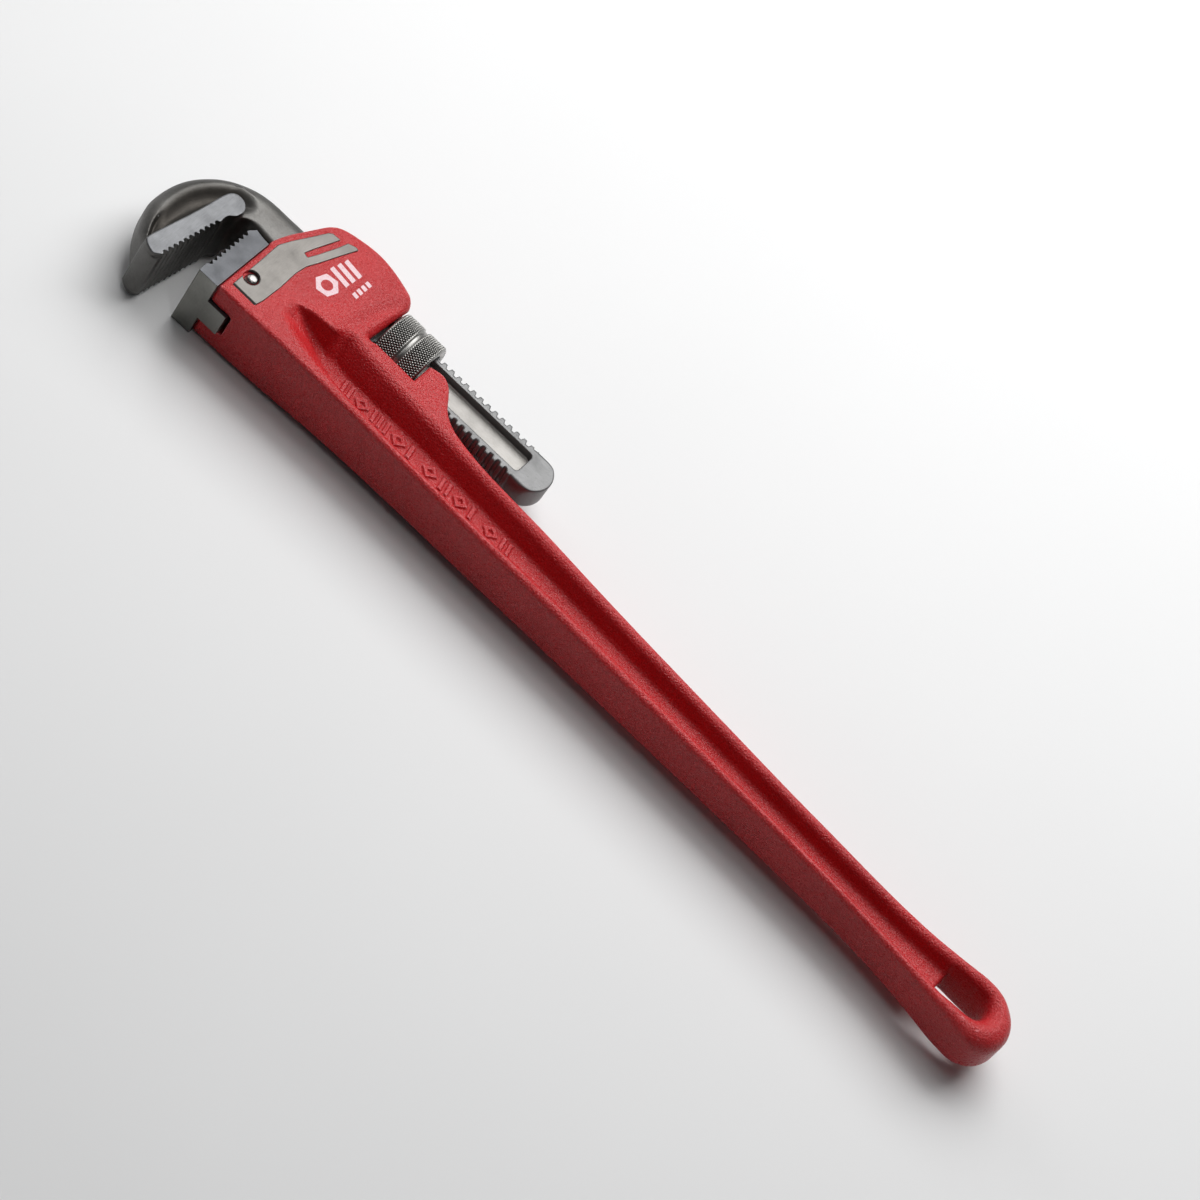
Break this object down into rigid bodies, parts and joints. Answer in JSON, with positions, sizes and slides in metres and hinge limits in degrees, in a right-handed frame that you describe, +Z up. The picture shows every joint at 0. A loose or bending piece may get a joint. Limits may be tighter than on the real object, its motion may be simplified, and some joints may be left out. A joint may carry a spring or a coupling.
{
  "type": "pipe wrench",
  "caption": "Straight pipe wrench: cast I-beam handle and housing, hook jaw on a threaded shank moved by a knurled nut, and a pinned toothed heel jaw.",
  "frame": {"origin": "centre of the bounding box in plan, at its lowest face, which is the side of the heel jaw the wrench lies on", "axes": "+X along the handle from the jaws to the tail, +Y from the front edge of the handle to the nut side, +Z up through the thickness"},
  "size_m": [0.597, 0.0989, 0.044],
  "materials": {
    "red_casting": "satin red paint over a slightly rough casting, side pad ground bare",
    "jaw_steel": "ground sides, dark hardened faces",
    "forged_steel": "dark forged, ground side bosses and shank sides",
    "nut_steel": "bright, diamond knurled",
    "spring_steel": "blued spring steel",
    "pin_steel": "turned"
  },
  "bodies": {
    "handle": {"handle": "red_casting", "heel_jaw": "jaw_steel", "heel_jaw_pin": "pin_steel"},
    "spring_pack": {"flat_spring": "spring_steel", "coil_spring": "spring_steel", "spring_rivet": "pin_steel"},
    "hook": {"hook_jaw": "forged_steel"},
    "nut": {"nut": "nut_steel"}
  },
  "joints": [
    {"name": "jaw_rock", "type": "hinge", "parent": "handle", "child": "spring_pack", "pos_m": [-0.1555, 0.02662, 0.022], "axis": [0, 0, 1], "range_deg": [-1.2, 1.2], "stiffness_Nm_per_rad": 25},
    {"name": "jaw_slide", "type": "slide", "parent": "spring_pack", "child": "hook", "axis": [-1, 0, 0], "range_m": [-0.0095, 0.062]},
    {"name": "nut_spin", "type": "hinge", "parent": "spring_pack", "child": "nut", "pos_m": [-0.1555, 0.02662, 0.022], "axis": [1, 0, 0], "range_deg": [-820, 4400]}
  ],
  "couplings": [
    {"joint": "nut_spin", "follows": "jaw_slide", "rad_per_m": 1236.8}
  ]
}
